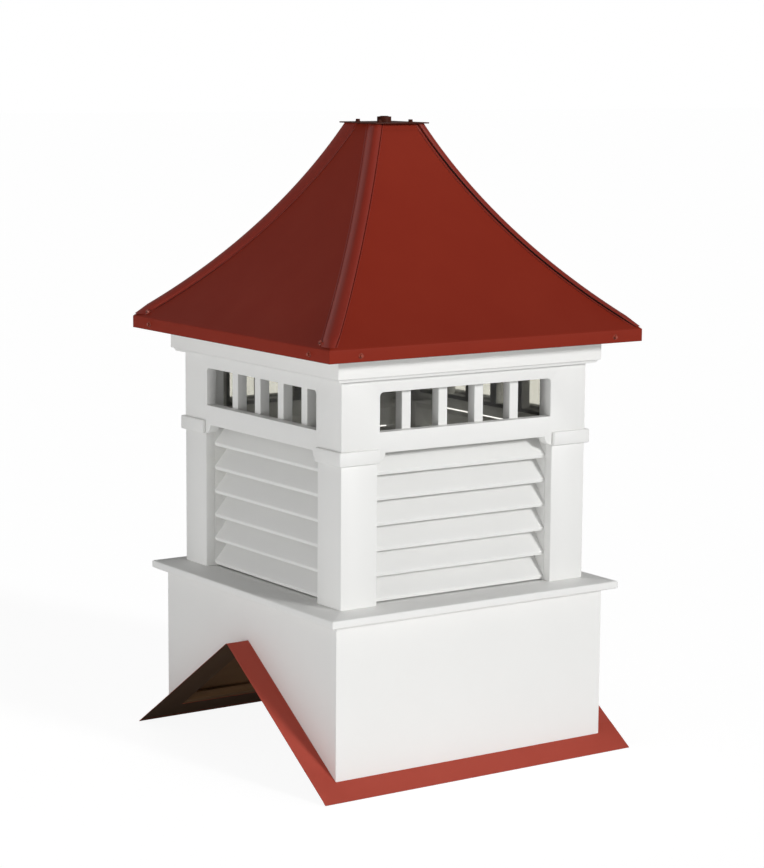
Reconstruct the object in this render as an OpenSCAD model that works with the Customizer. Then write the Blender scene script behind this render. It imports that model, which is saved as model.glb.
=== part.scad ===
// Roof cupola: a square louvred lantern on a box base that straddles a roof ridge,
// under a concave sheet-metal roof with hip caps.
// Origin: middle of the footprint, at the height of the lowest flange edges, +Z up.
// The front of the cupola faces -Y. The building's ridge runs along X.

/* [Base box] */
// Outside width of the square base box
base_w = 762; // [600:1:1000]
// Height of the front and back base walls, from the flashing to the base cap
base_h = 366; // [330:1:560]
// Thickness of the PVC base walls
base_wall_t = 12; // [6:1:20]
// Thickness of the plywood box inside the base walls
lining_t = 12; // [6:1:18]
// Pitch of the building's roof, in degrees
roof_pitch = 33.7; // [15:0.1:36]
// Height of the wooden cleats inside the front and back walls
cleat_h = 46; // [30:1:60]
// Thickness of the wooden cleats
cleat_t = 19; // [12:1:38]

/* [Flashing] */
// Width of the eave flanges outside the base walls, down the slope
flange_w = 58; // [30:1:90]
// Width of the rake flanges outside the base walls
rake_w = 58; // [30:1:68]
// Thickness of the flashing sheet
flange_t = 1.5; // [1:0.1:3]

/* [Base cap] */
// How far the base cap stands out from the base wall
cap_overhang = 28; // [20:1:45]
// Thickness of the base cap board at its inner edge
cap_t = 18; // [14:1:24]
// Height of the cap's outer nosing
cap_nose_h = 17; // [14:1:26]
// How far the top of the cap falls from the lantern to the nosing
cap_fall = 5; // [2:1:7]
// Width of the cap board inside the lantern's outer face
cap_inner_w = 80; // [78:1:110]
// Radius of the cove under the nosing
cap_cove_r = 2; // [1:1:14]

/* [Lantern] */
// Outside width of the square lantern
body_w = 694; // [560:1:720]
// Thickness of the posts and of the frieze boards
wall_t = 25; // [19:1:30]
// Width of each face of a corner post
post_w = 98; // [94:1:130]
// Height of the corner posts
post_h = 329; // [270:1:460]
// Height that the louvre opening rises above the posts
header_rise = 23; // [22:1:30]
// Radius of the rounded lobes in the opening's upper corners
lobe_r = 21; // [10:1:22]
// Height of the frieze, from the posts to the soffit
frieze_h = 251; // [230:1:320]

/* [Transom window] */
// How far the sides of a transom opening stand in from the edges of the posts
transom_inset = 5.5; // [0:0.5:40]
// Height of each transom opening
transom_h = 91; // [60:1:120]
// Height of the transom opening above the top of the posts
transom_rise = 70; // [60:1:90]
// Radius of the upper corners of each transom opening
transom_corner_r = 10; // [4:1:20]
// Width of the stop round the back of each transom opening
stop_w = 20; // [12:1:22]
// Thickness of that stop
stop_t = 25; // [8:1:28]
// Step from the opening back to the stop
stop_step = 6; // [2:1:8]
// Thickness of the glass
glass_t = 3; // [2:1:6]

/* [Post capitals] */
// Height of the capitals on the posts
capital_h = 33; // [25:1:50]
// How far the capitals stand out
capital_t = 9; // [5:1:14]

/* [Louvres] */
// Height from one blade to the next, rounded to fill the opening
blade_spacing = 58; // [50:1:60]
// Thickness of a blade
blade_t = 7.5; // [5:0.5:10]
// Slope of a blade, in degrees from level
blade_angle = 50; // [46:1:54]
// Depth of a blade, front to back
blade_depth = 46; // [44:1:48]
// Width of the stiles that hold the blade ends
stile_w = 18; // [12:1:20]
// How far those stiles run back past the blades
stile_back = 4; // [0:1:6]

/* [Crown moulding] */
// Height of the crown moulding under the soffit
crown_h = 59; // [50:1:60]
// How far it stands out from the frieze
crown_out = 26; // [20:1:40]
// Radius of the cove along its lower edge
crown_cove_r = 8; // [4:1:24]

/* [Roof] */
// Width of the roof across the eaves
eave_w = 881; // [860:1:1050]
// Height of the turned-down fascia at the eaves
fascia_h = 29; // [20:1:40]
// How far the fascia hangs below the soffit
fascia_drop = 4.5; // [0:0.5:10]
// Thickness of the soffit board
soffit_t = 12; // [9:1:19]
// Width of the soffit board inside the lantern's outer face
soffit_inner_w = 70; // [40:1:110]
// Rise of the roof from the eaves to the flat top
roof_rise = 475; // [380:1:620]
// Width of the flat top
roof_top_w = 122; // [80:1:160]
// Sag of the roof's concave curve below a straight slope
roof_sag = 34; // [15:1:55]
// Thickness of the roofing sheet
roof_t = 1.5; // [1:0.1:3]
// Width of a hip cap, measured level across the hip
hip_cap_w = 20; // [14:1:60]
// Height of a hip cap above the roofing
hip_cap_t = 4.5; // [2:0.5:6]

/* [Top plate] */
// How far the square plate laps past the flat top
plate_lap = 16; // [5:0.5:40]
// Thickness of the plate
plate_t = 3; // [2:0.5:6]
// Outside diameter of the finial collar
collar_d = 34; // [26:1:50]
// Height of the finial collar
collar_h = 14; // [8:1:30]
// Diameter of the bore for a finial or weathervane rod
rod_bore_d = 16; // [10:1:20]

/* [Hidden] */

white_pvc = "#f2f2f0";
roof_red = "#7e2a1e";
flange_red = "#8a3428";
dark_metal = "#2a1512";
plywood = "#55402f";
glass_tint = "#40453a";

// numbers of the four sides: the front is turned anticlockwise onto the others
FRONT = 0;
RIGHT = 1;
BACK = 2;
LEFT = 3;

seat_gap = 0.3;        // play round a piece that is set between others
cut = 1;               // how far a cutting shape runs past what it cuts
ratio = tan(roof_pitch);
base_r = base_w / 2;   // half widths are radii from the middle to a face
body_r = body_w / 2;
eave_r = eave_w / 2;
top_r = roof_top_w / 2;
open_r = body_r - post_w;
plate_w = roof_top_w + 2 * plate_lap;
transom_w = 2 * (open_r - transom_inset);

// heights, from the lowest edge of the flange upwards
skin_z = flange_t / cos(roof_pitch);
foot_z = flange_w * sin(roof_pitch) + skin_z;
flange_r = base_r + flange_w * cos(roof_pitch);
apex_z = foot_z + base_r * ratio;
wall_top_z = foot_z + base_h;
cap_top_z = wall_top_z + cap_t;
post_top_z = cap_top_z + post_h;
header_z = post_top_z + header_rise;
transom_z = post_top_z + transom_rise;
soffit_z = post_top_z + frieze_h;
fascia_bottom_z = soffit_z - fascia_drop;
eave_z = fascia_bottom_z + fascia_h;
top_z = eave_z + roof_rise;
plate_top_z = top_z + plate_t;

// louvres
blade_lip = blade_t / cos(blade_angle);
open_h = header_z - cap_top_z - seat_gap;
blade_count = round(open_h / blade_spacing);
blade_pitch = open_h / blade_count;
stile_d = blade_depth + stile_back;
louvre_r = body_r - wall_t;
louvre_head = 11;      // how far the stiles run up behind the frieze
glass_lap = 15;        // how far the glass laps past the transom opening

// the roof's concave curve, as an arc through the eaves and the flat top
chord_r = eave_r - top_r;
chord = sqrt(chord_r * chord_r + roof_rise * roof_rise);
arc_r = (chord * chord / 4 + roof_sag * roof_sag) / (2 * roof_sag);
arc_reach = arc_r - roof_sag;
arc_centre_r = (eave_r + top_r) / 2 + arc_reach * roof_rise / chord;
arc_centre_z = (eave_z + top_z) / 2 + arc_reach * chord_r / chord;

// turns a front piece round to another side
module on_side(side) {
  rotate([0, 0, 90 * side]) children();
}

// runs a section, drawn as distance outwards and height, along the front
module along_front(length) {
  rotate([90, 0, -90]) linear_extrude(height = length, center = true) children();
}

// sets a flat outline, drawn as X and height, against the front at radius r
module against_front(r, thickness) {
  translate([0, -r + thickness, 0]) rotate([90, 0, 0]) linear_extrude(height = thickness) children();
}

// keeps the quarter of a front piece that lies between its two mitres
module mitred(reach) {
  intersection() {
    children();
    translate([0, 0, -cut])
      linear_extrude(height = plate_top_z + 2 * cut) polygon([[0, 0], [-reach, -reach], [reach, -reach]]);
  }
}

// a rectangle centred on X that starts at height z
module pane_outline(width, height, z) {
  translate([-width / 2, z]) square([width, height]);
}

// the transom opening, square below and rounded in its upper corners
module transom_outline() {
  pane_outline(transom_w, transom_h - transom_corner_r, transom_z);
  pane_outline(transom_w - 2 * transom_corner_r, transom_h, transom_z);
  for (x = [-1, 1])
    translate([x * (transom_w / 2 - transom_corner_r), transom_z + transom_h - transom_corner_r])
      circle(r = transom_corner_r, $fn = 64);
}

// everything below the plane of the flashing's upper face, as one gable prism
module roof_below(reach) {
  rotate([90, 0, 90]) linear_extrude(height = 2 * reach, center = true)
    polygon([
      [-reach, foot_z - (reach - base_r) * ratio], [0, apex_z],
      [reach, foot_z - (reach - base_r) * ratio], [reach, -reach], [-reach, -reach]
    ]);
}

module roof_section(inner, outer) {
  intersection() {
    difference() {
      translate([arc_centre_r, arc_centre_z]) circle(r = arc_r + inner, $fn = 360);
      translate([arc_centre_r, arc_centre_z]) circle(r = arc_r - outer, $fn = 360);
    }
    translate([0, eave_z]) square([eave_r + outer, roof_rise]);
  }
}

module roof_panel(side) {
  color(roof_red) on_side(side) mitred(eave_r + cut) along_front(eave_w) {
    intersection() {
      roof_section(roof_t, 0);
      square([eave_r, top_z]);
    }
    translate([eave_r - roof_t, fascia_bottom_z]) square([roof_t, fascia_h]);
  }
}

// a cap folded over the hip that lies anticlockwise of the given side
module hip_cap(side) {
  color(roof_red) on_side(side) intersection() {
    union() {
      mitred(eave_r) along_front(eave_w) intersection() {
        roof_section(0, hip_cap_t);
        square([eave_r, top_z]);
      }
      on_side(RIGHT) mitred(eave_r) along_front(eave_w) intersection() {
        roof_section(0, hip_cap_t);
        square([eave_r, top_z]);
      }
    }
    rotate([0, 0, -45]) translate([0, -hip_cap_w / 2, eave_z]) cube([eave_w, hip_cap_w, roof_rise]);
  }
}

module top_plate() {
  color(dark_metal) translate([0, 0, top_z]) difference() {
    translate([-plate_w / 2, -plate_w / 2, 0]) cube([plate_w, plate_w, plate_t]);
    translate([0, 0, -cut]) cylinder(d = rod_bore_d, h = plate_t + 2 * cut, $fn = 64);
  }
}

module finial_collar() {
  color(dark_metal) translate([0, 0, plate_top_z]) difference() {
    cylinder(d = collar_d, h = collar_h, $fn = 64);
    translate([0, 0, -cut]) cylinder(d = rod_bore_d, h = collar_h + 2 * cut, $fn = 64);
  }
}

module eave_soffit() {
  outer_r = eave_r - roof_t;
  hole_r = body_r - soffit_inner_w;
  color(white_pvc) translate([0, 0, soffit_z]) difference() {
    translate([-outer_r, -outer_r, 0]) cube([2 * outer_r, 2 * outer_r, soffit_t]);
    translate([-hole_r, -hole_r, -cut]) cube([2 * hole_r, 2 * hole_r, soffit_t + 2 * cut]);
  }
}

module crown(side) {
  color(white_pvc) on_side(side) mitred(eave_r) along_front(eave_w)
    translate([body_r, soffit_z - crown_h]) difference() {
      square([crown_out, crown_h]);
      translate([crown_out, 0]) circle(r = crown_cove_r, $fn = 64);
    }
}

// the board over the posts, with the transom opening and the stop behind it
module frieze(side) {
  stop_outer_w = transom_w + 2 * (stop_step + stop_w);
  stop_outer_h = transom_h + 2 * (stop_step + stop_w);
  color(white_pvc) on_side(side) mitred(eave_r) {
    against_front(body_r, wall_t) difference() {
      pane_outline(body_w, frieze_h, post_top_z);
      transom_outline();
      difference() {
        pane_outline(2 * open_r, header_rise + cut, post_top_z - cut);
        for (x = [-open_r, open_r]) translate([x, header_z]) circle(r = lobe_r, $fn = 64);
      }
    }
    against_front(body_r - wall_t, stop_t) difference() {
      pane_outline(stop_outer_w, stop_outer_h, transom_z - stop_step - stop_w);
      pane_outline(transom_w + 2 * stop_step, transom_h + 2 * stop_step, transom_z - stop_step);
    }
  }
}

// one pane behind each transom opening
module transom_glass() {
  color(glass_tint, 0.5) for (side = [FRONT:LEFT]) on_side(side)
    against_front(body_r - wall_t - stop_t, glass_t)
      pane_outline(transom_w + 2 * glass_lap, transom_h + 2 * glass_lap, transom_z - glass_lap);
}

// an angle of moulding round the outside corner at the top of each post
module post_capitals() {
  outer = body_r + capital_t;
  color(white_pvc) for (side = [FRONT:LEFT]) on_side(side)
    translate([0, 0, post_top_z]) linear_extrude(height = capital_h) polygon([
      [open_r, -outer], [outer, -outer], [outer, -open_r],
      [body_r, -open_r], [body_r, -body_r], [open_r, -body_r]
    ]);
}

// the post anticlockwise of the given side: two boards mitred into an angle
module corner_post(side) {
  inner = body_r - wall_t;
  color(white_pvc) on_side(side) translate([0, 0, cap_top_z]) linear_extrude(height = post_h) polygon([
    [open_r, -body_r], [body_r, -body_r], [body_r, -open_r],
    [inner, -open_r], [inner, -inner], [open_r, -inner]
  ]);
}

module blade_section(z) {
  rise = blade_depth * tan(blade_angle);
  polygon([
    [louvre_r, z], [louvre_r, z + blade_lip],
    [louvre_r - blade_depth, z + blade_lip + rise], [louvre_r - blade_depth, z + rise]
  ]);
}

// sloping blades held between two stiles behind the posts
module louvre(side) {
  stile_top_z = header_z + louvre_head;
  color(white_pvc) on_side(side) {
    for (k = [0:blade_count - 1]) intersection() {
      along_front(2 * (open_r + cut)) blade_section(cap_top_z + seat_gap + k * blade_pitch);
      translate([-open_r - cut, -louvre_r, cap_top_z])
        cube([2 * (open_r + cut), stile_d, stile_top_z - cap_top_z]);
    }
    for (x = [-open_r - stile_w, open_r]) translate([x, -louvre_r, cap_top_z])
      cube([stile_w, stile_d, stile_top_z - cap_top_z]);
  }
}

module base_cap(side) {
  nose_r = base_r + cap_overhang;
  inner_r = body_r - cap_inner_w;
  nose_z = cap_top_z - cap_fall;
  nose_bottom_z = nose_z - cap_nose_h;
  apron_r = nose_r - cap_cove_r;
  color(white_pvc) on_side(side) mitred(eave_r + cut) along_front(eave_w) difference() {
    polygon([
      [inner_r, wall_top_z], [base_r, wall_top_z], [base_r, nose_bottom_z - cap_cove_r],
      [apron_r, nose_bottom_z - cap_cove_r], [apron_r, nose_bottom_z], [nose_r, nose_bottom_z],
      [nose_r, nose_z], [body_r, cap_top_z], [inner_r, cap_top_z]
    ]);
    translate([apron_r, nose_bottom_z - cap_cove_r]) circle(r = cap_cove_r, $fn = 64);
  }
}

// a box of boards with its lower edge cut to the roof
module notched_box(outer_r, thickness) {
  difference() {
    translate([-outer_r, -outer_r, 0]) cube([2 * outer_r, 2 * outer_r, wall_top_z]);
    translate([thickness - outer_r, thickness - outer_r, -cut])
      cube([2 * (outer_r - thickness), 2 * (outer_r - thickness), wall_top_z + 2 * cut]);
    roof_below(base_w);
  }
}

module base_wall(side) {
  color(white_pvc) intersection() {
    notched_box(base_r, base_wall_t);
    on_side(side) mitred(base_r) translate([-base_r, -base_r, 0])
      cube([base_w, base_wall_t, wall_top_z]);
  }
}

module base_lining() {
  color(plywood) notched_box(base_r - base_wall_t, lining_t);
}

// nailing strips inside the front and back of the lining
module base_cleats() {
  lining_r = base_r - base_wall_t - lining_t;
  color(plywood) for (side = [FRONT, BACK]) on_side(side) difference() {
    translate([-lining_r, -lining_r, 0]) cube([2 * lining_r, cleat_t, foot_z + cleat_h]);
    roof_below(base_w);
  }
}

// one strip of flashing in the plane of the roof, from y0 out to y1 on the front slope
module flange_strip(x0, x1, y0, y1) {
  translate([(x0 + x1) / 2, 0, 0]) along_front(x1 - x0) polygon([
    [y1, (flange_r - y1) * ratio], [y1, (flange_r - y1) * ratio + skin_z],
    [y0, (flange_r - y0) * ratio + skin_z], [y0, (flange_r - y0) * ratio]
  ]);
}

flange_in_r = base_r - base_wall_t - lining_t;
flange_out_r = base_r + rake_w;

module flange_eave(side) {
  color(flange_red) on_side(side) flange_strip(-flange_out_r, flange_out_r, flange_in_r, flange_r);
}

module flange_rake(x0, x1, slope_side) {
  flip = slope_side == FRONT ? 0 : 1;
  color(flange_red) mirror([0, flip, 0]) flange_strip(x0, x1, 0, flange_in_r);
}

top_plate();
finial_collar();
roof_panel(FRONT);  // roof_panel_front
roof_panel(RIGHT);  // roof_panel_right
roof_panel(BACK);  // roof_panel_back
roof_panel(LEFT);  // roof_panel_left
hip_cap(FRONT);  // hip_cap_front_right
hip_cap(RIGHT);  // hip_cap_back_right
hip_cap(BACK);  // hip_cap_back_left
hip_cap(LEFT);  // hip_cap_front_left
eave_soffit();
crown(FRONT);  // crown_front
crown(RIGHT);  // crown_right
crown(BACK);  // crown_back
crown(LEFT);  // crown_left
frieze(FRONT);  // frieze_front
frieze(RIGHT);  // frieze_right
frieze(BACK);  // frieze_back
frieze(LEFT);  // frieze_left
transom_glass();
post_capitals();
corner_post(FRONT);  // corner_post_front_right
corner_post(RIGHT);  // corner_post_back_right
corner_post(BACK);  // corner_post_back_left
corner_post(LEFT);  // corner_post_front_left
louvre(FRONT);  // louvre_front
louvre(RIGHT);  // louvre_right
louvre(BACK);  // louvre_back
louvre(LEFT);  // louvre_left
base_cap(FRONT);  // base_cap_front
base_cap(RIGHT);  // base_cap_right
base_cap(BACK);  // base_cap_back
base_cap(LEFT);  // base_cap_left
base_wall(FRONT);  // base_wall_front
base_wall(RIGHT);  // base_wall_right
base_wall(BACK);  // base_wall_back
base_wall(LEFT);  // base_wall_left
base_lining();
base_cleats();
flange_eave(FRONT);  // flange_front
flange_eave(BACK);  // flange_back
flange_rake(-flange_out_r, -flange_in_r, FRONT);  // flange_left_front
flange_rake(-flange_out_r, -flange_in_r, BACK);  // flange_left_back
flange_rake(flange_in_r, flange_out_r, FRONT);  // flange_right_front
flange_rake(flange_in_r, flange_out_r, BACK);  // flange_right_back
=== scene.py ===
import math

import bmesh
import bpy
from mathutils import Matrix, Vector


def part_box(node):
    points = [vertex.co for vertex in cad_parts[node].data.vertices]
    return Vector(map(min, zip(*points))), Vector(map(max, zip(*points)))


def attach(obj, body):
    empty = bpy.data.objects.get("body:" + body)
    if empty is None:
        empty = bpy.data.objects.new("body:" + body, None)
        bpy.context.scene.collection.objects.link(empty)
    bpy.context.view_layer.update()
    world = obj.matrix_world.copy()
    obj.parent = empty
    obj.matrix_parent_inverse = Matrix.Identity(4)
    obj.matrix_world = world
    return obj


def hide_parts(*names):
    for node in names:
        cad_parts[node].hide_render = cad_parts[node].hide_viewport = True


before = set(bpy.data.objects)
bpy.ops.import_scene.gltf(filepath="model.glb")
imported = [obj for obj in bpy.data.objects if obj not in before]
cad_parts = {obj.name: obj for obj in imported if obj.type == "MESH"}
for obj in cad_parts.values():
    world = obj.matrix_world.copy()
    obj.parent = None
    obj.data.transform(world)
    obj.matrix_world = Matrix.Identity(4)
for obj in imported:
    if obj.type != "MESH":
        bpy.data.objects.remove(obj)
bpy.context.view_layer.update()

# ---------------------------------------------------------------------------
# Studio
# A cupola on a pale matt floor in a white tent, lit by a low lamp at the front right and
# a soft box low at the left. The camera stands 6 m off its front left corner.

EYE_DISTANCE = 5.97045
EYE_HEIGHT = 1.65267
EYE_AZIMUTH = math.radians(-34.396)
EYE_TILT = math.radians(-8.6)
EYE_ROLL = math.radians(0.388)
LENS_MM = 103.39
TENT_HIGH, TENT_LOW = 0.11, 0.4         # light from straight above, and from the horizon down
THROUGH_GLASS = 2.3                     # the backdrop's brightness beyond a window
KEY_POWER = 1.68
KEY_AZIMUTH, KEY_HEIGHT = math.radians(14), math.radians(18)
KEY_SPREAD = math.radians(9)
BOX_POWER = 43
BOX_WIDTH, BOX_HEIGHT = 1.8, 0.6
BOX_PLACE = (-4.2, -0.84, 0.42)
FLOOR_REACH = 60
FLOOR_WHITE = "fafafa"
FLOOR_SHADE = "f4f4f4"
FLOOR_PATCH = 0.4                       # metres across a patch of the floor's mottling
FLOOR_LIFT = 0.8                        # how far the floor is paled towards the backdrop
FLOOR_GLOW = 1.15                       # and how bright it then is beside it
OUTPUT = "ShaderNodeOutputMaterial"
FACTOR, COLOUR_A, COLOUR_B, MIXED = 0, 6, 7, 2   # sockets of a Mix node that mixes colours


def linear(colour):
    """The linear RGBA of an sRGB hex colour."""
    shares = [int(colour[k:k + 2], 16) / 255 for k in (0, 2, 4)]
    return [s / 12.92 if s <= 0.04045 else ((s + 0.055) / 1.055) ** 2.4 for s in shares] + [1.0]


def add(tree, kind, inputs=None, **settings):
    """Adds a node. An input takes a value, or the socket that feeds it."""
    made = tree.nodes.new(kind)
    for name, value in settings.items():
        setattr(made, name, value)
    for socket, value in (inputs or {}).items():
        if isinstance(value, bpy.types.NodeSocket):
            tree.links.new(value, made.inputs[socket])
        else:
            made.inputs[socket].default_value = value
    return made


def new_finish(name):
    """A material named for a finish, its empty tree, and the piece's own coordinates."""
    finish = bpy.data.materials.new(name)
    finish.use_nodes = True
    finish.node_tree.nodes.clear()
    return finish, finish.node_tree, add(finish.node_tree, "ShaderNodeTexCoord").outputs["Object"]


def keep(name, mesh, finish):
    """An object at the origin that shows a mesh in one finish."""
    made = bpy.data.objects.new(name, mesh)
    mesh.materials.append(finish)
    bpy.context.scene.collection.objects.link(made)
    return made


def sight(tree):
    """Whether the eye looks straight at this, or through clear glass, and how bright it then is."""
    path = add(tree, "ShaderNodeLightPath").outputs
    turned = add(tree, "ShaderNodeMath", {0: path["Diffuse Depth"], 1: path["Glossy Depth"]}, operation="ADD")
    straight = add(tree, "ShaderNodeMath", {0: turned.outputs[0], 1: 0.5}, operation="LESS_THAN")
    bright = add(tree, "ShaderNodeMapRange", {
        "Value": path["Is Transmission Ray"], "To Min": 1.0, "To Max": THROUGH_GLASS})
    return straight.outputs[0], bright.outputs[0]


eye = bpy.data.objects.new("camera", bpy.data.cameras.new("camera"))
bpy.context.scene.collection.objects.link(eye)
eye.data.lens = LENS_MM
stand = (EYE_DISTANCE * math.sin(EYE_AZIMUTH), -EYE_DISTANCE * math.cos(EYE_AZIMUTH), EYE_HEIGHT)
eye.matrix_world = (
    Matrix.Translation(stand)
    @ Matrix.Rotation(EYE_AZIMUTH, 4, "Z")
    @ Matrix.Rotation(math.pi / 2 + EYE_TILT, 4, "X")
    @ Matrix.Rotation(EYE_ROLL, 4, "Z")
)
bpy.context.scene.camera = eye
bpy.context.scene.view_settings.view_transform = "Standard"

tent = bpy.data.worlds.new("white_tent")
bpy.context.scene.world = tent
tent.use_nodes = True
tent.node_tree.nodes.clear()
way_out = add(tent.node_tree, "ShaderNodeTexCoord").outputs["Generated"]
aim = add(tent.node_tree, "ShaderNodeSeparateXYZ", {0: way_out})
fade = add(tent.node_tree, "ShaderNodeMapRange", {
    "Value": aim.outputs["Z"], "From Min": 0.0, "From Max": 1.0, "To Min": TENT_LOW, "To Max": TENT_HIGH})
glow = add(tent.node_tree, "ShaderNodeBackground", {"Color": linear("ffffff"), "Strength": fade.outputs[0]})
seen, brightness = sight(tent.node_tree)
backdrop = add(tent.node_tree, "ShaderNodeBackground", {"Color": linear("ffffff"), "Strength": brightness})
both = add(tent.node_tree, "ShaderNodeMixShader", {0: seen, 1: glow.outputs[0], 2: backdrop.outputs[0]})
add(tent.node_tree, "ShaderNodeOutputWorld", {"Surface": both.outputs[0]})

key_lamp = bpy.data.objects.new("key_lamp", bpy.data.lights.new("key_lamp", "SUN"))
bpy.context.scene.collection.objects.link(key_lamp)
key_lamp.data.energy, key_lamp.data.angle = KEY_POWER, KEY_SPREAD
key_lamp.rotation_euler = (math.pi / 2 - KEY_HEIGHT, 0, KEY_AZIMUTH)

soft_box = bpy.data.objects.new("soft_box", bpy.data.lights.new("soft_box", "AREA"))
bpy.context.scene.collection.objects.link(soft_box)
soft_box.data.shape, soft_box.data.size, soft_box.data.size_y = "RECTANGLE", BOX_WIDTH, BOX_HEIGHT
soft_box.data.energy = BOX_POWER
soft_box.location = BOX_PLACE
level_aim = Vector((-soft_box.location.x, -soft_box.location.y, 0))
soft_box.rotation_euler = level_aim.to_track_quat("-Z", "Y").to_euler()
soft_box.visible_camera = False
soft_box.visible_glossy = False

# Rolled matt emulsion on boards: barely mottled, with no reflection.
matt_floor, tree, place = new_finish("matt_white_floor")
mottle = add(tree, "ShaderNodeTexNoise", {"Vector": place, "Scale": 1 / FLOOR_PATCH})
tone = add(tree, "ShaderNodeMix", {
    FACTOR: mottle.outputs["Fac"], COLOUR_A: linear(FLOOR_WHITE), COLOUR_B: linear(FLOOR_SHADE),
}, data_type="RGBA")
matt = add(tree, "ShaderNodeBsdfPrincipled", {
    "Base Color": tone.outputs[MIXED], "Roughness": 0.9, "Specular IOR Level": 0.1,
})
seen, brightness = sight(tree)
glow = add(tree, "ShaderNodeMath", {0: brightness, 1: FLOOR_GLOW}, operation="MULTIPLY")
lift = add(tree, "ShaderNodeEmission", {"Color": linear("ffffff"), "Strength": glow.outputs[0]})
share = add(tree, "ShaderNodeMath", {0: seen, 1: FLOOR_LIFT}, operation="MULTIPLY")
paled = add(tree, "ShaderNodeMixShader", {0: share.outputs[0], 1: matt.outputs[0], 2: lift.outputs[0]})
add(tree, OUTPUT, {"Surface": paled.outputs[0]})
floor_mesh = bpy.data.meshes.new("floor")
square = ((-1, -1), (1, -1), (1, 1), (-1, 1))
floor_mesh.from_pydata([(x * FLOOR_REACH, y * FLOOR_REACH, 0) for x, y in square], [], [(0, 1, 2, 3)])
keep("floor", floor_mesh, matt_floor)

# ---------------------------------------------------------------------------
# Flashing
# Strips of prepainted steel that lie on the roof slopes, with a hem folded under
# along each free edge. One strip runs along each eave wall, and one over the ridge
# on each gable side, bent to the roof's 8 in 12 pitch.

MM = 0.001
MERGE = 0.01 * MM                       # corners closer than this are one
SHARP = math.radians(35)                # edges steeper than this stay crisp
PITCH = math.radians(33.69)
SHEET = 0.8 * MM
HEM = 1.5 * MM
HEM_WIDTH = 10 * MM
RIDGE_BEND = 9 * MM
RIDGE_STEPS = 6
HEM_STEPS = 6
UNDERSIDE = -0.3                        # a face whose normal points further down takes the back colour: backing coat and painted shade
COAT_CLOUD = 143 * MM                   # how far apart a coat's lighter and darker areas lie
COAT_GRAIN = 2.38 * MM
COAT_RELIEF = 0.4 * MM
UP = Vector((0, 0, 1))


def sharpen(mesh):
    """Turns all faces outwards and shades them smooth up to the sharp edges."""
    work = bmesh.new()
    work.from_mesh(mesh)
    bmesh.ops.remove_doubles(work, verts=work.verts, dist=MERGE)
    bmesh.ops.recalc_face_normals(work, faces=work.faces)
    work.to_mesh(mesh)
    work.free()
    mesh.shade_smooth()
    mesh.set_sharp_from_angle(angle=SHARP)
    return mesh


def sweep(profile, stations, closed=False):
    """A mesh that carries a closed profile through stations of (origin, across, along)."""
    count = len(profile)
    points = [origin + a * across + b * along for origin, across, along in stations for a, b in profile]
    faces = []
    for k in range(len(stations) - (0 if closed else 1)):
        this, after = k * count, (k + 1) % len(stations) * count
        for j in range(count):
            n = (j + 1) % count
            faces.append((this + j, this + n, after + n, after + j))
    if not closed:
        faces.append(tuple(reversed(range(count))))
        faces.append(tuple(range(len(points) - count, len(points))))
    mesh = bpy.data.meshes.new("swept")
    mesh.from_pydata(points, [], faces)
    return sharpen(mesh)


# Coil coated steel: an even satin polyester coat with a faint texture from the roller. Faces turned
# down take a darker back colour, partly the thin dull backing coat and partly painted shade. The
# roller's texture is finer than this on the real sheet, and is drawn coarse enough to show.
def painted_sheet(name, paint, shade, back, gloss=(0.4, 0.5), shine=0.1):
    """A coil coat: its two near shades, its back colour (partly painted shade), its roughness from and to,
    and its shine.
    """
    front_coat, tree, place = new_finish(name)
    cloud = add(tree, "ShaderNodeTexNoise", {"Vector": place, "Scale": 1 / COAT_CLOUD, "Detail": 3.0})
    grain = add(tree, "ShaderNodeTexNoise", {"Vector": place, "Scale": 1 / COAT_GRAIN, "Detail": 2.0})
    coat = add(tree, "ShaderNodeMix", {
        FACTOR: cloud.outputs["Fac"], COLOUR_A: linear(paint), COLOUR_B: linear(shade),
    }, data_type="RGBA")
    facing = add(tree, "ShaderNodeNewGeometry").outputs["Normal"]
    height = add(tree, "ShaderNodeSeparateXYZ", {0: facing}).outputs["Z"]
    # Faces turned down take the back colour: partly the backing coat, partly painted shade.
    under = add(tree, "ShaderNodeMath", {0: height, 1: UNDERSIDE}, operation="LESS_THAN")
    colour = add(tree, "ShaderNodeMix", {
        FACTOR: under.outputs[0], COLOUR_A: coat.outputs[MIXED], COLOUR_B: linear(back),
    }, data_type="RGBA")
    satin = add(tree, "ShaderNodeMapRange", {
        "Value": cloud.outputs["Fac"], "To Min": gloss[0], "To Max": gloss[1]})
    ripple = add(tree, "ShaderNodeBump", {
        "Height": grain.outputs["Fac"], "Strength": 0.05, "Distance": COAT_RELIEF})
    paintwork = add(tree, "ShaderNodeBsdfPrincipled", {
        "Base Color": colour.outputs[MIXED], "Roughness": satin.outputs[0], "Normal": ripple.outputs[0],
        "Specular IOR Level": shine,
    })
    add(tree, OUTPUT, {"Surface": paintwork.outputs[0]})
    return front_coat


# A brighter brick red than the roofing, from another coil. Its brown back colour on faces turned
# down is partly the backing coat and partly painted shade under the flashing.
flashing_paint = painted_sheet("prepainted_steel_flashing", "b85244", "b04a3c", "4a3524")
eave_low, eave_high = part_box("flange_front")
wall_low, wall_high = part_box("base_wall_front")
base_r, foot_z = -wall_low.y, wall_low.z
flange_out_r, flange_in_r, rake_out_r = -eave_low.y, -eave_high.y, eave_high.x


def slope_z(r):
    """Height of the flashing's upper face at a distance r from the ridge."""
    return foot_z + (base_r - r) * math.tan(PITCH)


def hemmed(width):
    """Section of a sheet with a hem folded under its outer edge, as distance out and height."""
    tip = width - HEM / 2
    round_edge = [(tip + HEM / 2 * math.sin(t), -HEM / 2 + HEM / 2 * math.cos(t))
                  for t in (math.pi * k / HEM_STEPS for k in range(HEM_STEPS + 1))]
    return [(0, 0)] + round_edge + [(width - HEM_WIDTH, -HEM), (width - HEM_WIDTH, -SHEET), (0, -SHEET)]


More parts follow.
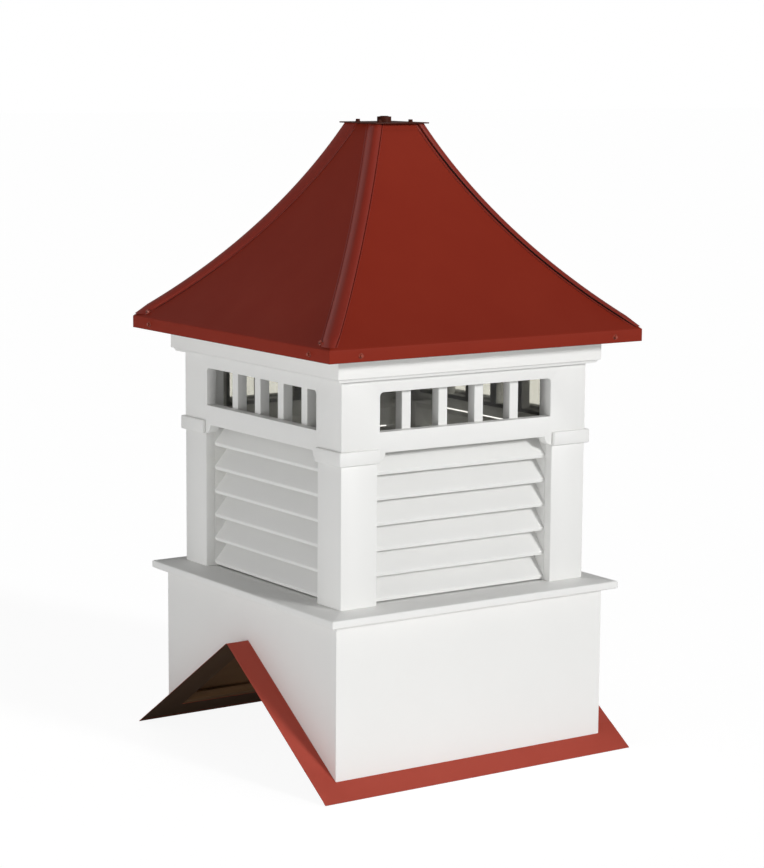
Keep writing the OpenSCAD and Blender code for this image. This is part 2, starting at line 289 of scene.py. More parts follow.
for side, name in ((0, "front"), (2, "back")):
    down = Vector((0, -math.cos(PITCH), -math.sin(PITCH)))
    out = Vector((0, -math.sin(PITCH), math.cos(PITCH)))
    ends = [(Vector((x, -flange_in_r, slope_z(flange_in_r))), down, out) for x in (-rake_out_r, rake_out_r)]
    strip = sweep(hemmed((flange_out_r - flange_in_r) / math.cos(PITCH)), ends)
    strip.transform(Matrix.Rotation(side * math.pi / 2, 4, "Z"))
    strip = keep(f"eave_flashing_{name}", strip, flashing_paint)
    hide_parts(f"flange_{name}")
    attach(strip, "root")

for way, name in ((-1, "left"), (1, "right")):
    stations = [(-flange_in_r, PITCH)]
    stations += [(RIDGE_BEND * math.sin(t), -t)
                 for t in (PITCH * k / RIDGE_STEPS for k in range(-RIDGE_STEPS, RIDGE_STEPS + 1))]
    stations.append((flange_in_r, -PITCH))
    bend_z = slope_z(0) - RIDGE_BEND / math.cos(PITCH)
    path = []
    for y, lean in stations:
        z = slope_z(abs(y)) if abs(y) == flange_in_r else bend_z + RIDGE_BEND * math.cos(lean)
        path.append((Vector((way * flange_in_r, y, z)), Vector((way, 0, 0)),
                     Vector((0, -math.sin(lean), math.cos(lean)))))
    strip = keep(f"rake_flashing_{name}", sweep(hemmed(rake_out_r - flange_in_r), path), flashing_paint)
    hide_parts(f"flange_{name}_front", f"flange_{name}_back")
    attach(strip, "root")

# ---------------------------------------------------------------------------
# Plywood lining and nailing cleats
# A box of five-ply sheathing inside the PVC walls, with its lower edge sawn to the
# roof, and a softwood cleat nailed inside each eave wall. Bare and unpainted.

PLY_FACE, PLY_FIGURE, PLY_CORE = "9c7550", "7d5a3a", "4d3522"
PLY_THICK = 2.4 * MM
SPRUCE, LATEWOOD = "8e6b47", "6b4b2d"
FIGURE_ACROSS = 9 * MM                  # spacing of the grain lines across the face
FIGURE_ALONG = 160 * MM
RINGS_ACROSS, RINGS_ALONG = 8.33 * MM, 250 * MM
SAWN_EDGE = -0.5                        # a face whose normal points further down is the sawn edge
GRAIN_RELIEF = 0.5 * MM

# Rotary cut softwood plywood: long wavy figure on the faces, and dark and light plies by
# turns where the lower edge is sawn.
sheathing, tree, place = new_finish("five_ply_sheathing")
stretch = add(tree, "ShaderNodeMapping", {
    "Vector": place, "Scale": (1 / FIGURE_ALONG, 1 / FIGURE_ALONG, 1 / FIGURE_ACROSS)})
figure = add(tree, "ShaderNodeTexNoise", {
    "Vector": stretch.outputs[0], "Scale": 1.0, "Detail": 5.0, "Roughness": 0.65, "Distortion": 0.6})
face = add(tree, "ShaderNodeMix", {
    FACTOR: figure.outputs["Fac"], COLOUR_A: linear(PLY_FACE), COLOUR_B: linear(PLY_FIGURE),
}, data_type="RGBA")
split = add(tree, "ShaderNodeSeparateXYZ", {0: place})
deep_x = add(tree, "ShaderNodeMath", {0: split.outputs["X"]}, operation="ABSOLUTE")
deep_y = add(tree, "ShaderNodeMath", {0: split.outputs["Y"]}, operation="ABSOLUTE")
depth = add(tree, "ShaderNodeMath", {0: deep_x.outputs[0], 1: deep_y.outputs[0]}, operation="MAXIMUM")
layer = add(tree, "ShaderNodeMath", {0: depth.outputs[0], 1: 2 * PLY_THICK}, operation="MODULO")
core = add(tree, "ShaderNodeMath", {0: layer.outputs[0], 1: PLY_THICK}, operation="GREATER_THAN")
edge_on = add(tree, "ShaderNodeSeparateXYZ", {0: add(tree, "ShaderNodeNewGeometry").outputs["Normal"]})
sawn = add(tree, "ShaderNodeMath", {0: edge_on.outputs["Z"], 1: SAWN_EDGE}, operation="LESS_THAN")
dark_ply = add(tree, "ShaderNodeMath", {0: core.outputs[0], 1: sawn.outputs[0]}, operation="MULTIPLY")
wood = add(tree, "ShaderNodeMix", {
    FACTOR: dark_ply.outputs[0], COLOUR_A: face.outputs[MIXED], COLOUR_B: linear(PLY_CORE),
}, data_type="RGBA")
relief = add(tree, "ShaderNodeBump", {
    "Height": figure.outputs["Fac"], "Strength": 0.3, "Distance": GRAIN_RELIEF})
bare = add(tree, "ShaderNodeBsdfPrincipled", {
    "Base Color": wood.outputs[MIXED], "Roughness": 0.75, "Normal": relief.outputs[0]})
add(tree, OUTPUT, {"Surface": bare.outputs[0]})
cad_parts["base_lining"].data.materials[0] = sheathing

# Rough sawn spruce: growth rings drawn out along the cleat, and a furry dull surface.
softwood, tree, place = new_finish("sawn_spruce")
stretch = add(tree, "ShaderNodeMapping", {
    "Vector": place, "Scale": (1 / RINGS_ALONG, 1 / RINGS_ACROSS, 1 / RINGS_ACROSS)})
rings = add(tree, "ShaderNodeTexNoise", {
    "Vector": stretch.outputs[0], "Scale": 1.0, "Detail": 4.0, "Distortion": 0.8})
wood = add(tree, "ShaderNodeMix", {
    FACTOR: rings.outputs["Fac"], COLOUR_A: linear(SPRUCE), COLOUR_B: linear(LATEWOOD),
}, data_type="RGBA")
relief = add(tree, "ShaderNodeBump", {
    "Height": rings.outputs["Fac"], "Strength": 0.4, "Distance": GRAIN_RELIEF})
bare = add(tree, "ShaderNodeBsdfPrincipled", {
    "Base Color": wood.outputs[MIXED], "Roughness": 0.8, "Normal": relief.outputs[0]})
add(tree, OUTPUT, {"Surface": bare.outputs[0]})
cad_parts["base_cleats"].data.materials[0] = softwood

# ---------------------------------------------------------------------------
# Base walls
# Four boards of white cellular PVC, mitred and glued at the corners over the plywood.
# The gable boards are notched over the ridge. Cut edges are eased with sandpaper.

WALL_EASE = 1.2 * MM
EASE_STEPS = 2
COPLANAR = math.radians(0.5)
SIDES = ("front", "right", "back", "left")
CORNERS = ("front_right", "back_right", "back_left", "front_left")
PVC_WHITE, PVC_SHADE = "f8f8f6", "f4f4f2"
PVC_CLOUD = 200 * MM
PVC_SKIN = 3.85 * MM
PVC_RELIEF = 0.5 * MM

# Extruded cellular PVC: a bright white semi-matt skin, nearly even, with a slight orange
# peel that is drawn coarser than the real one so that it shows.
cellular_pvc, tree, place = new_finish("cellular_pvc_board")
cloud = add(tree, "ShaderNodeTexNoise", {"Vector": place, "Scale": 1 / PVC_CLOUD, "Detail": 3.0})
skin = add(tree, "ShaderNodeTexNoise", {"Vector": place, "Scale": 1 / PVC_SKIN, "Detail": 2.0})
tone = add(tree, "ShaderNodeMix", {
    FACTOR: cloud.outputs["Fac"], COLOUR_A: linear(PVC_WHITE), COLOUR_B: linear(PVC_SHADE),
}, data_type="RGBA")
gloss = add(tree, "ShaderNodeMapRange", {"Value": cloud.outputs["Fac"], "To Min": 0.42, "To Max": 0.55})
ripple = add(tree, "ShaderNodeBump", {
    "Height": skin.outputs["Fac"], "Strength": 0.04, "Distance": PVC_RELIEF})
plastic = add(tree, "ShaderNodeBsdfPrincipled", {
    "Base Color": tone.outputs[MIXED], "Roughness": gloss.outputs[0], "Normal": ripple.outputs[0],
    "IOR": 1.5})
add(tree, OUTPUT, {"Surface": plastic.outputs[0]})


def baked(piece):
    """Turns the piece's modifiers into a plain mesh and removes them."""
    made = bpy.data.meshes.new_from_object(piece.evaluated_get(bpy.context.evaluated_depsgraph_get()))
    piece.modifiers.clear()
    piece.data = made
    return piece


def eased_copy(name, node, ease, finish):
    """A copy of a CAD board with its cut edges rounded by ease."""
    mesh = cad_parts[node].data.copy()
    mesh.materials.clear()
    work = bmesh.new()
    work.from_mesh(mesh)
    bmesh.ops.remove_doubles(work, verts=work.verts, dist=MERGE)
    bmesh.ops.dissolve_limit(work, angle_limit=COPLANAR, verts=work.verts, edges=work.edges)
    work.to_mesh(mesh)
    work.free()
    board = keep(name, mesh, finish)
    bevel = board.modifiers.new("ease", "BEVEL")
    bevel.width, bevel.segments, bevel.angle_limit = ease, EASE_STEPS, SHARP
    bevel.use_clamp_overlap = True
    baked(board)
    sharpen(board.data)
    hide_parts(node)
    return board


for side in SIDES:
    board = eased_copy(f"base_board_{side}", f"base_wall_{side}", WALL_EASE, cellular_pvc)
    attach(board, "root")

# ---------------------------------------------------------------------------
# Base cap
# Four lengths of PVC sill, mitred and glued round the foot of the lantern. Each falls
# outwards to a rounded nosing, with a drip edge under it that is coved back to the wall.

NOSE_FALL = 5 * MM
NOSE_H = 17 * MM
COVE_R = 2 * MM
CAP_INNER_W = 80 * MM
NOSE_TOP_ROUND, NOSE_FOOT_ROUND = 4 * MM, 1.5 * MM
ARC_STEPS = 6


def eased(corners):
    """A closed section from corners of (distance out, height, rounding)."""
    made = []
    for k, (a, b, rounding) in enumerate(corners):
        if not rounding:
            made.append((a, b))
            continue
        here = Vector((a, b))
        before = (Vector(corners[k - 1][:2]) - here).normalized()
        after = (Vector(corners[(k + 1) % len(corners)][:2]) - here).normalized()
        half = before.angle(after) / 2
        centre = here + (before + after).normalized() * (rounding / math.sin(half))
        start = here + before * (rounding / math.tan(half)) - centre
        sweep_angle = math.pi - 2 * half
        turn = 1 if start.x * after.y - start.y * after.x > 0 else -1
        for j in range(ARC_STEPS + 1):
            t = turn * sweep_angle * j / ARC_STEPS
            made.append((centre.x + start.x * math.cos(t) - start.y * math.sin(t),
                         centre.y + start.x * math.sin(t) + start.y * math.cos(t)))
    return made


def mitred(section, side):
    """A section run along one side between the two mitres."""
    mesh = sweep(section, [(Vector(), Vector((-1, -1, 0)), UP), (Vector(), Vector((1, -1, 0)), UP)])
    mesh.transform(Matrix.Rotation(side * math.pi / 2, 4, "Z"))
    return mesh


cap_low, cap_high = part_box("base_cap_front")
post_low, post_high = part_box("corner_post_front_right")
nose_r, cap_top_z, body_r = -cap_low.y, cap_high.z, post_high.x
wall_top_z = wall_high.z
nose_z = cap_top_z - NOSE_FALL
nose_foot_z = nose_z - NOSE_H
apron_r = nose_r - COVE_R
cove = [(apron_r - COVE_R * math.sin(t), nose_foot_z - COVE_R + COVE_R * math.cos(t), 0)
        for t in (math.pi / 2 * k / ARC_STEPS for k in range(ARC_STEPS + 1))]
sill = eased([
    (body_r - CAP_INNER_W, wall_top_z, 0), (body_r - CAP_INNER_W, cap_top_z, WALL_EASE),
    (body_r, cap_top_z, 0), (nose_r, nose_z, NOSE_TOP_ROUND), (nose_r, nose_foot_z, NOSE_FOOT_ROUND),
] + cove + [(base_r, nose_foot_z - COVE_R, 0), (base_r, wall_top_z, 0)])
for side, name in enumerate(SIDES):
    board = keep(f"sill_{name}", mitred(sill, side), cellular_pvc)
    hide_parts(f"base_cap_{name}")
    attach(board, "root")

# ---------------------------------------------------------------------------
# Corner posts
# Two PVC boards glued into an angle at each corner of the lantern, standing on the
# sill. The outside arris is eased a little more than the other edges.

POST_EASE = 1.8 * MM

for corner in CORNERS:
    post = eased_copy(f"post_{corner}", f"corner_post_{corner}", POST_EASE, cellular_pvc)
    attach(post, "root")

# ---------------------------------------------------------------------------
# Louvres
# Six sloping PVC blades a side, housed in a stile behind each post. Each blade ends in a
# plumb lip that stands just behind the faces of the posts, with rounded arrises.

BLADE_LIP = 11.7 * MM
BLADE_SLOPE = math.radians(50)
BLADE_DEPTH = 46 * MM
BLADE_EASE = 1.6 * MM
BLADES = 6
SEAT = 0.3 * MM
HEADER_RISE = 23 * MM
STILE_BACK = 4 * MM


def row_tree(name):
    """Nodes that repeat a piece in a straight row: how many, and the step from one to the next."""
    tree = bpy.data.node_groups.new(name, "GeometryNodeTree")
    for label, kind in (("Piece", "Geometry"), ("Count", "Int"), ("Step", "Vector"), ("Finish", "Material")):
        tree.interface.new_socket(label, in_out="INPUT", socket_type=f"NodeSocket{kind}")
    tree.interface.new_socket("Row", in_out="OUTPUT", socket_type="NodeSocketGeometry")
    given = add(tree, "NodeGroupInput").outputs
    places = add(tree, "GeometryNodeMeshLine", {
        "Count": given["Count"], "Offset": given["Step"]}, mode="OFFSET")
    copies = add(tree, "GeometryNodeInstanceOnPoints", {
        "Points": places.outputs[0], "Instance": given["Piece"]})
    solid = add(tree, "GeometryNodeRealizeInstances", {"Geometry": copies.outputs[0]})
    finished = add(tree, "GeometryNodeSetMaterial", {
        "Geometry": solid.outputs[0], "Material": given["Finish"]})
    add(tree, "NodeGroupOutput", {0: finished.outputs[0]})
    return tree


def repeated(piece, tree, **values):
    """Runs a node tree on a piece with the named inputs and keeps the result as a plain mesh."""
    modifier = piece.modifiers.new("repeat", "NODES")
    modifier.node_group = tree
    for item in tree.interface.items_tree:
        if item.name in values:
            modifier[item.identifier] = values[item.name]
    return baked(piece)


louvre_low, louvre_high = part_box("louvre_front")
open_r = post_low.x
lip_r = -louvre_low.y
header_z = post_high.z + HEADER_RISE
blade_pitch = (header_z - cap_top_z - SEAT) / BLADES
lip_foot_z = cap_top_z + SEAT
back_foot_z = lip_foot_z + BLADE_DEPTH * math.tan(BLADE_SLOPE)
blade = eased([
    (lip_r, lip_foot_z, BLADE_EASE), (lip_r, lip_foot_z + BLADE_LIP, BLADE_EASE),
    (lip_r - BLADE_DEPTH, back_foot_z + BLADE_LIP, 0), (lip_r - BLADE_DEPTH, back_foot_z, 0)])
stile = eased([
    (louvre_high.x - open_r, 0, 0), (louvre_high.x - open_r, -BLADE_DEPTH - STILE_BACK, WALL_EASE),
    (0, -BLADE_DEPTH - STILE_BACK, WALL_EASE), (0, 0, 0)])
straight_row = row_tree("straight_row")
for side, name in enumerate(SIDES):
    turn = Matrix.Rotation(side * math.pi / 2, 4, "Z")
    ends = [(Vector((x, 0, 0)), Vector((0, -1, 0)), UP) for x in (-open_r, open_r)]
    blades = keep(f"louvre_blades_{name}", sweep(blade, ends), cellular_pvc)
    repeated(blades, straight_row, Count=BLADES, Step=(0, 0, blade_pitch), Finish=cellular_pvc)
    stiles = bmesh.new()
    for way in (-1, 1):
        ends = [(Vector((way * open_r, -lip_r, z)), Vector((way, 0, 0)), Vector((0, -1, 0)))
                for z in (louvre_low.z, louvre_high.z)]
        stiles.from_mesh(sweep(stile, ends))
    stiles.from_mesh(blades.data)
    stiles.to_mesh(blades.data)
    stiles.free()
    blades.data.transform(turn)
    sharpen(blades.data)
    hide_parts(f"louvre_{name}")
    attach(blades, "root")

# ---------------------------------------------------------------------------
# Frieze boards
# One PVC board a side over the posts, with the transom opening sawn through it and a
# stop glued behind. The lower edge has a rounded lobe at each end of the louvre opening.

for side in SIDES:
    board = eased_copy(f"frieze_board_{side}", f"frieze_{side}", WALL_EASE, cellular_pvc)
    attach(board, "root")

# ---------------------------------------------------------------------------
# Transom windows
# Four upright bars divide each transom into five lights. They are let in between the stops
# in front of one pane of clear float glass a side, 3 mm thick.

BAR_W = 25 * MM
BAR_T = 25 * MM
BARS = 4
BAR_EASE = 1.5 * MM
STOP_STEP = 6 * MM
TRANSOM_INSET = 5.5 * MM
TRANSOM_H = 91 * MM
TRANSOM_RISE = 70 * MM
GLASS_WAVE = 111 * MM                   # how far apart the faint ripples of the drawn sheet lie
GLASS_RELIEF = 0.3 * MM

transom_half = open_r - TRANSOM_INSET
bar_step = (2 * transom_half + BAR_W) / (BARS + 1)
bar_z = post_high.z + TRANSOM_RISE - STOP_STEP
bar_section = eased([
    (-BAR_W / 2, -BAR_T, 0), (-BAR_W / 2, 0, BAR_EASE), (BAR_W / 2, 0, BAR_EASE), (BAR_W / 2, -BAR_T, 0)])
for side, name in enumerate(SIDES):
    first = Vector((-bar_step * (BARS - 1) / 2, -lip_r, 0))
    ends = [(first + Vector((0, 0, z)), Vector((1, 0, 0)), Vector((0, -1, 0)))
            for z in (bar_z, bar_z + TRANSOM_H + 2 * STOP_STEP)]
    bars = keep(f"window_bars_{name}", sweep(bar_section, ends), cellular_pvc)
    repeated(bars, straight_row, Count=BARS, Step=(bar_step, 0, 0), Finish=cellular_pvc)
    bars.data.transform(Matrix.Rotation(side * math.pi / 2, 4, "Z"))
    sharpen(bars.data)
    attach(bars, "root")

# Clear float glass with a grey tint, slightly uneven from place to place, that darkens the lantern
# seen through it as painted shade. Sharp reflections, and lamp light through it dimmed as painted shade.
float_glass, tree, place = new_finish("clear_float_glass")
waver = add(tree, "ShaderNodeTexNoise", {"Vector": place, "Scale": 1 / GLASS_WAVE, "Detail": 1.0})
shade_tint = add(tree, "ShaderNodeMix", {
    FACTOR: waver.outputs["Fac"], COLOUR_A: linear("cdccc6"), COLOUR_B: linear("c6c5be"),
}, data_type="RGBA")
draw = add(tree, "ShaderNodeBump", {
    "Height": waver.outputs["Fac"], "Strength": 0.1, "Distance": GLASS_RELIEF})
pane = add(tree, "ShaderNodeBsdfPrincipled", {
    "Base Color": shade_tint.outputs[MIXED], "Roughness": 0.03, "IOR": 1.5, "Transmission Weight": 1.0,
    "Normal": draw.outputs[0]})
# Lamp light through the pane is dimmed to this grey: painted shade inside the lantern.
clear = add(tree, "ShaderNodeBsdfTransparent", {"Color": linear("8a8c80")})
shadow = add(tree, "ShaderNodeLightPath").outputs["Is Shadow Ray"]
both = add(tree, "ShaderNodeMixShader", {0: shadow, 1: pane.outputs[0], 2: clear.outputs[0]})
add(tree, OUTPUT, {"Surface": both.outputs[0]})
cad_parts["transom_glass"].data.materials[0] = float_glass

# ---------------------------------------------------------------------------
# Post capitals
# A flat PVC moulding bent round the outside of each corner at the head of the post,
# with well rounded edges. It is glued to the frieze boards.

CAPITAL_EASE = 3 * MM

capitals = eased_copy("capitals", "post_capitals", CAPITAL_EASE, cellular_pvc)
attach(capitals, "root")

# ---------------------------------------------------------------------------
# Crown moulding and soffit
# A PVC crown with a small cove along its foot, mitred and glued round the head of the
# frieze, under a flat PVC soffit board that carries the eaves of the roof.

CROWN_COVE = 8 * MM
COVE_STEPS = 2 * ARC_STEPS

crown_low, crown_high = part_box("crown_front")
crown_r = -crown_low.y
hollow = [(crown_r - CROWN_COVE * math.sin(t), crown_low.z + CROWN_COVE * math.cos(t), 0)
          for t in (math.pi / 2 * k / COVE_STEPS for k in range(COVE_STEPS + 1))]
crown = eased([(body_r, crown_high.z, 0), (crown_r, crown_high.z, 0)] + hollow + [(body_r, crown_low.z, 0)])
for side, name in enumerate(SIDES):
    board = keep(f"crown_moulding_{name}", mitred(crown, side), cellular_pvc)
    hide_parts(f"crown_{name}")
    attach(board, "root")
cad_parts["eave_soffit"].data.materials[0] = cellular_pvc

# ---------------------------------------------------------------------------
# Roof panels
# Four sheets of dark red prepainted steel, rolled to a concave sweep and turned down
# over the eaves into a plumb fascia with a hem along its lower edge.

ROOF_SAG = 34 * MM
PLATE_LAP = 16 * MM
FASCIA_H = 29 * MM
EAVE_BEND = 5 * MM
ROOF_STEPS = 64

# Dark red roofing, with a grey primer on its underside; its dark grey on faces turned down is
# partly that primer and partly painted shade.
roof_paint = painted_sheet("prepainted_steel_roofing", "91301f", "89291a", "2a2624")
panel_low, panel_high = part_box("roof_panel_front")
plate_low, plate_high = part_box("top_plate")
eave_r, fascia_z, roof_top_z = -panel_low.y, panel_low.z, panel_high.z
eave_z, roof_top_r = fascia_z + FASCIA_H, plate_high.x - PLATE_LAP
run_r, run_z = eave_r - roof_top_r, roof_top_z - eave_z
chord = math.hypot(run_r, run_z)
arc_r = (chord * chord / 4 + ROOF_SAG * ROOF_SAG) / (2 * ROOF_SAG)
reach = arc_r - ROOF_SAG
arc_centre = Vector(((eave_r + roof_top_r) / 2 + reach * run_z / chord,
                     (eave_z + roof_top_z) / 2 + reach * run_r / chord))
top_turn = math.atan2(roof_top_z - arc_centre.y, roof_top_r - arc_centre.x) % (2 * math.pi)
eave_turn = math.atan2(eave_z - arc_centre.y, eave_r - arc_centre.x) % (2 * math.pi)


def roof_curve(lift, share):
    """A point on the roof's section, lifted off the sheet's face; share runs from the top to the eaves."""
    turn = top_turn + (eave_turn - top_turn) * share
    return arc_centre + (arc_r - lift) * Vector((math.cos(turn), math.sin(turn)))


outside = [(*roof_curve(0, k / ROOF_STEPS), 0) for k in range(ROOF_STEPS)]
inside = [(*roof_curve(-SHEET, k / ROOF_STEPS), 0) for k in range(ROOF_STEPS, -1, -1)]
panel = eased(outside + [
    (eave_r, eave_z, EAVE_BEND), (eave_r, fascia_z, HEM / 2), (eave_r - 2 * HEM, fascia_z, HEM / 2),
    (eave_r - 2 * HEM, fascia_z + HEM_WIDTH, 0), (eave_r - SHEET, fascia_z + HEM_WIDTH, 0),
    (eave_r - SHEET, eave_z - EAVE_BEND, 0)] + inside)
for side, name in enumerate(SIDES):
    sheet = keep(f"roof_sheet_{name}", mitred(panel, side), roof_paint)
    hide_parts(f"roof_panel_{name}")
    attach(sheet, "root")

# ---------------------------------------------------------------------------
# Hip caps
# A cap of painted steel over each hip, from the top plate down to the eaves. Its bead is
# folded up 9 mm with a rounded crest, between two narrow grooves and the hemmed edges.

# Flats of the folded section from the crest outwards, as mm from the hip and mm of lift.
FRONT_BEAD = ((4, 7.6), (8, 6), (9.5, 3), (10, 0.7))
FRONT_HEM = ((13, 0.7), (13.5, 2.6), (15, 2.6), (17.5, 1.2), (18, 0.6))
SIDE_BEAD = ((5, 9), (14, 8.2), (24, 6.2), (32, 3.2), (36, 0.7))
SIDE_HEM = ((39.5, 0.7), (40, 1.2), (43.5, 1.2), (44, 0.6))
CAP_HEM = 1.2 * MM                      # the side hem's lift, where the foot screws sit
CREST_STEPS = 8
PRESSED, PRESS_SHARE = 0.4, 0.1         # how low the foot is pressed, and over what share of the cap
FOOT_SHARE = 0.985
SINK = 0.6 * MM                         # how far the cap's back lies under the sheets' faces

# The same coat as the roofing, a little glossier on the worked bead. Its dark grey on faces
# turned down is partly primer and partly painted shade.
cap_paint = painted_sheet("prepainted_steel_hip_caps", "8e3022", "86281c", "2a2624", (0.3, 0.36), 0.36)

front_flank = [(along * MM, lift * MM) for along, lift in FRONT_BEAD + FRONT_HEM]
side_flank = [(along * MM, lift * MM) for along, lift in SIDE_BEAD + SIDE_HEM]
front_rise, side_rise = front_flank[0][1], side_flank[0][1]


def hip_section(share, mirrored):
    """Level section of the cap at the front right hip, or its mirror image about the hip."""
    r, z = roof_curve(0, share)
    lean = (arc_centre.x - r) / arc_r   # how upright the sheet stands here: a lift is longer when level
    press = min(1, PRESSED + (FOOT_SHARE - share) / PRESS_SHARE)
    level = press / lean
    outline = [(r - front_flank[-1][0], SINK / lean - r)]
    outline += [(r - along, -r - lift * level) for along, lift in reversed(front_flank)]
    for t in (math.pi / 2 * k / CREST_STEPS for k in range(1, CREST_STEPS)):
        outline.append((r + side_rise * level * math.sin(t), -r - front_rise * level * math.cos(t)))
    outline += [(r + lift * level, along - r) for along, lift in side_flank]
    outline += [(r - SINK / lean, side_flank[-1][0] - r), (r - SINK / lean, SINK / lean - r)]
    return [Vector((-y, -x, z)) if mirrored else Vector((x, y, z)) for x, y in outline]


for side, name in enumerate(CORNERS):
    sections = [hip_section(FOOT_SHARE * k / ROOF_STEPS, side % 2) for k in range(ROOF_STEPS + 1)]
    count = len(sections[0])
    faces = []
    for k in range(ROOF_STEPS):
        this, after = k * count, (k + 1) * count
        for j in range(count):
            n = (j + 1) % count
            faces.append((this + j, this + n, after + n, after + j))
    faces += [tuple(range(count)), tuple(range(ROOF_STEPS * count, (ROOF_STEPS + 1) * count))]
    cap = bpy.data.meshes.new("hip")
    cap.from_pydata([point for section in sections for point in section], [], faces)
    cap.transform(Matrix.Rotation(side * math.pi / 2, 4, "Z"))
    cap = keep(f"rolled_cap_{name}", sharpen(cap), cap_paint)
    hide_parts(f"hip_cap_{name}")
    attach(cap, "root")

# ---------------------------------------------------------------------------
# Top plate and rod clamp
# A square plate of painted steel bolted over the open top of the roof, with a short
# skirt below it, and a split clamp that takes the rod of a finial or weathervane.

PLATE_EASE = 0.8 * MM
SKIRT_T = 1.2 * MM
SKIRT_SHARE = 0.0265                    # the part of the roof's length that the skirt covers
SKIRT_PLAY = 0.1 * MM
CLAMP_R, CLAMP_BORE = 17 * MM, 8 * MM
CLAMP_RING = 5 * MM
CLAMP_GAP = 4 * MM
CLAMP_TURN = math.radians(-45)          # the way its split faces
JAW_EASE, BORE_EASE = 1.5 * MM, 0.8 * MM
CLAMP_STEPS = 20

# Dark brown enamel baked on the pressed plate and the clamp. The near black on faces turned down
# is partly a black underside and partly painted shade.
plate_paint = painted_sheet("dark_enamelled_plate", "582a1e", "4c2319", "1b1918")
plate = eased_copy("cover_plate", "top_plate", PLATE_EASE, plate_paint)
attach(plate, "root")

skirt_foot = roof_curve(0, SKIRT_SHARE)
skirt_section = [
    (roof_top_r, roof_top_z - SKIRT_PLAY), (roof_top_r + SKIRT_T, roof_top_z - SKIRT_PLAY),
    (skirt_foot.x + SKIRT_T, skirt_foot.y), (skirt_foot.x, skirt_foot.y)]
whole = bmesh.new()
for side in range(len(SIDES)):
    whole.from_mesh(mitred(skirt_section, side))
skirt_mesh = bpy.data.meshes.new("skirt")
whole.to_mesh(skirt_mesh)
whole.free()
skirt = keep("plate_skirt", sharpen(skirt_mesh), roof_paint)
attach(skirt, "root")

collar_low, collar_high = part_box("finial_collar")
ring_z = collar_low.z + CLAMP_RING
ring = [(CLAMP_BORE, collar_low.z), (CLAMP_R, collar_low.z), (CLAMP_R, ring_z), (CLAMP_BORE, ring_z)]
jaw = eased([
    (CLAMP_BORE, ring_z, 0), (CLAMP_R, ring_z, 0),
    (CLAMP_R, collar_high.z, JAW_EASE), (CLAMP_BORE, collar_high.z, BORE_EASE)])


def round_bore(turns):
    """Stations round the rod's axis at the given turns."""
    return [(Vector(), Vector((math.cos(t), math.sin(t), 0)), UP) for t in turns]


clamp = bmesh.new()
whole_turn = [math.pi * k / CLAMP_STEPS for k in range(2 * CLAMP_STEPS)]
clamp.from_mesh(sweep(ring, round_bore(whole_turn), closed=True))
gap = math.asin(CLAMP_GAP / 2 / CLAMP_BORE)
for half in range(2):
    start = CLAMP_TURN + math.pi * half + gap
    clamp.from_mesh(sweep(jaw, round_bore(
        start + (math.pi - 2 * gap) * k / CLAMP_STEPS for k in range(CLAMP_STEPS + 1))))
clamp_mesh = bpy.data.meshes.new("clamp")
clamp.to_mesh(clamp_mesh)
clamp.free()
rod_clamp = keep("rod_clamp", sharpen(clamp_mesh), plate_paint)
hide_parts("finial_collar")
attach(rod_clamp, "root")

# ---------------------------------------------------------------------------
# Screws and bolts
# Painted roofing screws with a bonded washer hold the fascia and the feet of the hip caps,
# and four hexagon bolts hold the top plate. Each head is a washer and a six-sided head.

FASCIA_SCREW_IN = 82 * MM
FASCIA_SCREW_Z = 14 * MM
FOOT_SCREW_IN = 39 * MM
FOOT_SCREW_SHARE = 0.97
BOLT_IN = 45 * MM
WASHER_SIDES, HEAD_SIDES = 20, 6
WASHER_TAPER, HEAD_TAPER = 0.86, 0.9    # the upper radius as a part of the lower


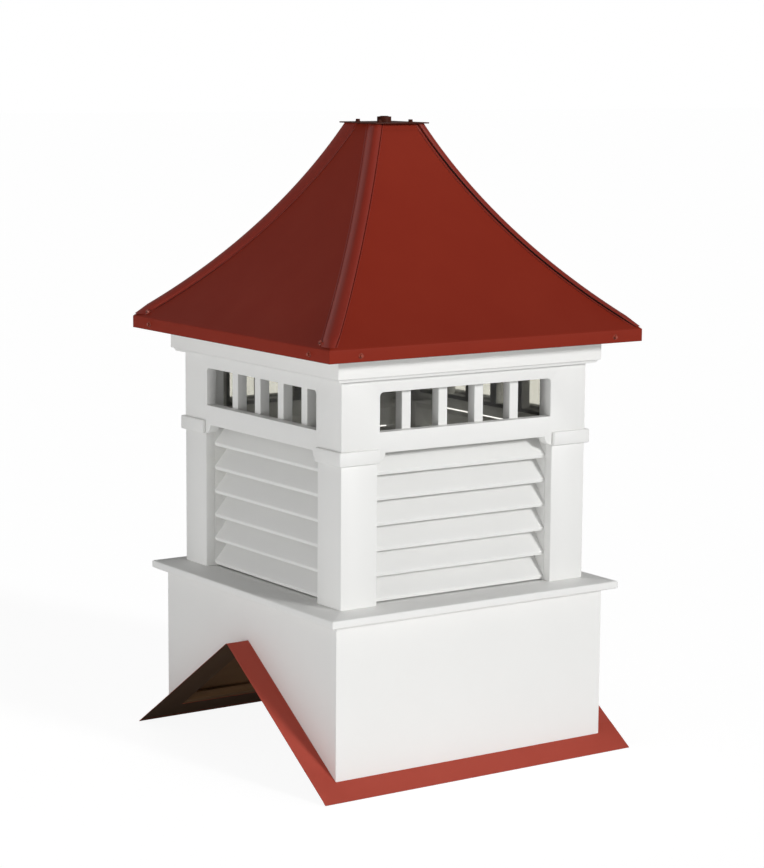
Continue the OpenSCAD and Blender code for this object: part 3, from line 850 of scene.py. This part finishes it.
def fastener_tree():
    """Nodes that set a washer and a hexagon head on every point, square to its axis attribute."""
    tree = bpy.data.node_groups.new("fasteners", "GeometryNodeTree")
    tree.interface.new_socket("Places", in_out="INPUT", socket_type="NodeSocketGeometry")
    for label in ("Washer radius", "Washer height", "Head radius", "Head height"):
        tree.interface.new_socket(label, in_out="INPUT", socket_type="NodeSocketFloat")
    tree.interface.new_socket("Finish", in_out="INPUT", socket_type="NodeSocketMaterial")
    tree.interface.new_socket("Fasteners", in_out="OUTPUT", socket_type="NodeSocketGeometry")
    given = add(tree, "NodeGroupInput").outputs
    cones = []
    for part, sides, taper in (("Washer", WASHER_SIDES, WASHER_TAPER), ("Head", HEAD_SIDES, HEAD_TAPER)):
        top = add(tree, "ShaderNodeMath", {0: given[f"{part} radius"], 1: taper}, operation="MULTIPLY")
        cones.append(add(tree, "GeometryNodeMeshCone", {
            "Vertices": sides, "Radius Bottom": given[f"{part} radius"], "Radius Top": top.outputs[0],
            "Depth": given[f"{part} height"]}))
    raise_head = add(tree, "ShaderNodeCombineXYZ", {"Z": given["Washer height"]})
    head = add(tree, "GeometryNodeTransform", {
        "Geometry": cones[1].outputs[0], "Translation": raise_head.outputs[0]})
    whole = add(tree, "GeometryNodeJoinGeometry", {0: cones[0].outputs[0]})
    tree.links.new(head.outputs[0], whole.inputs[0])
    axis = add(tree, "GeometryNodeInputNamedAttribute", {"Name": "axis"}, data_type="FLOAT_VECTOR")
    square = add(tree, "FunctionNodeAlignRotationToVector", {"Vector": axis.outputs[0]}, axis="Z")
    copies = add(tree, "GeometryNodeInstanceOnPoints", {
        "Points": given["Places"], "Instance": whole.outputs[0], "Rotation": square.outputs[0]})
    solid = add(tree, "GeometryNodeRealizeInstances", {"Geometry": copies.outputs[0]})
    finished = add(tree, "GeometryNodeSetMaterial", {
        "Geometry": solid.outputs[0], "Material": given["Finish"]})
    add(tree, "NodeGroupOutput", {0: finished.outputs[0]})
    return tree


def turned(places, sides):
    """Places of (point, axis) for the front, turned to each of the given sides."""
    turns = [Matrix.Rotation(side * math.pi / 2, 4, "Z") for side in sides]
    return [(turn @ point, turn @ axis) for turn in turns for point, axis in places]


def fasteners(name, places, tree, finish, **sizes):
    """One piece of fasteners at places of (point, axis)."""
    mesh = bpy.data.meshes.new(name)
    mesh.from_pydata([point for point, axis in places], [], [])
    axes = mesh.attributes.new("axis", "FLOAT_VECTOR", "POINT")
    axes.data.foreach_set("vector", [c for point, axis in places for c in axis])
    made = keep(name, mesh, finish)
    repeated(made, tree, Finish=finish, **sizes)
    sharpen(made.data)
    return made


heads = fastener_tree()
# Glossy red enamel on the zinc head. The duller, darker red on its faces turned down is painted shade.
head_paint = painted_sheet("enamelled_screw_head", "a04432", "96402e", "5a241a", gloss=(0.2, 0.26), shine=0.9)
screw_sizes = {
    "Washer radius": 6.5 * MM, "Washer height": 1.6 * MM, "Head radius": 4.4 * MM, "Head height": 4.2 * MM}
fascia_places = [
    (Vector((way * (eave_r - FASCIA_SCREW_IN), -eave_r, fascia_z + FASCIA_SCREW_Z)), Vector((0, -1, 0)))
    for way in (-1, 1)]
r, z = roof_curve(0, FOOT_SCREW_SHARE)
lean = (arc_centre.x - r) / arc_r
square_out = Vector((lean, 0, math.sqrt(1 - lean * lean)))
foot_places = [(Vector((r + CAP_HEM / lean, way * (r - FOOT_SCREW_IN), z)), square_out) for way in (-1, 1)]
places = turned(fascia_places, range(4)) + turned(foot_places, (0, 2))
screws = fasteners("roofing_screws", places, heads, head_paint, **screw_sizes)
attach(screws, "root")

bolt_sizes = {
    "Washer radius": 7.0 * MM, "Washer height": 1.4 * MM, "Head radius": 6.0 * MM, "Head height": 5.0 * MM}
bolt_places = turned([(Vector((BOLT_IN, -BOLT_IN, plate_high.z)), UP)], range(4))
bolts = fasteners("plate_bolts", bolt_places, heads, plate_paint, **bolt_sizes)
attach(bolts, "root")
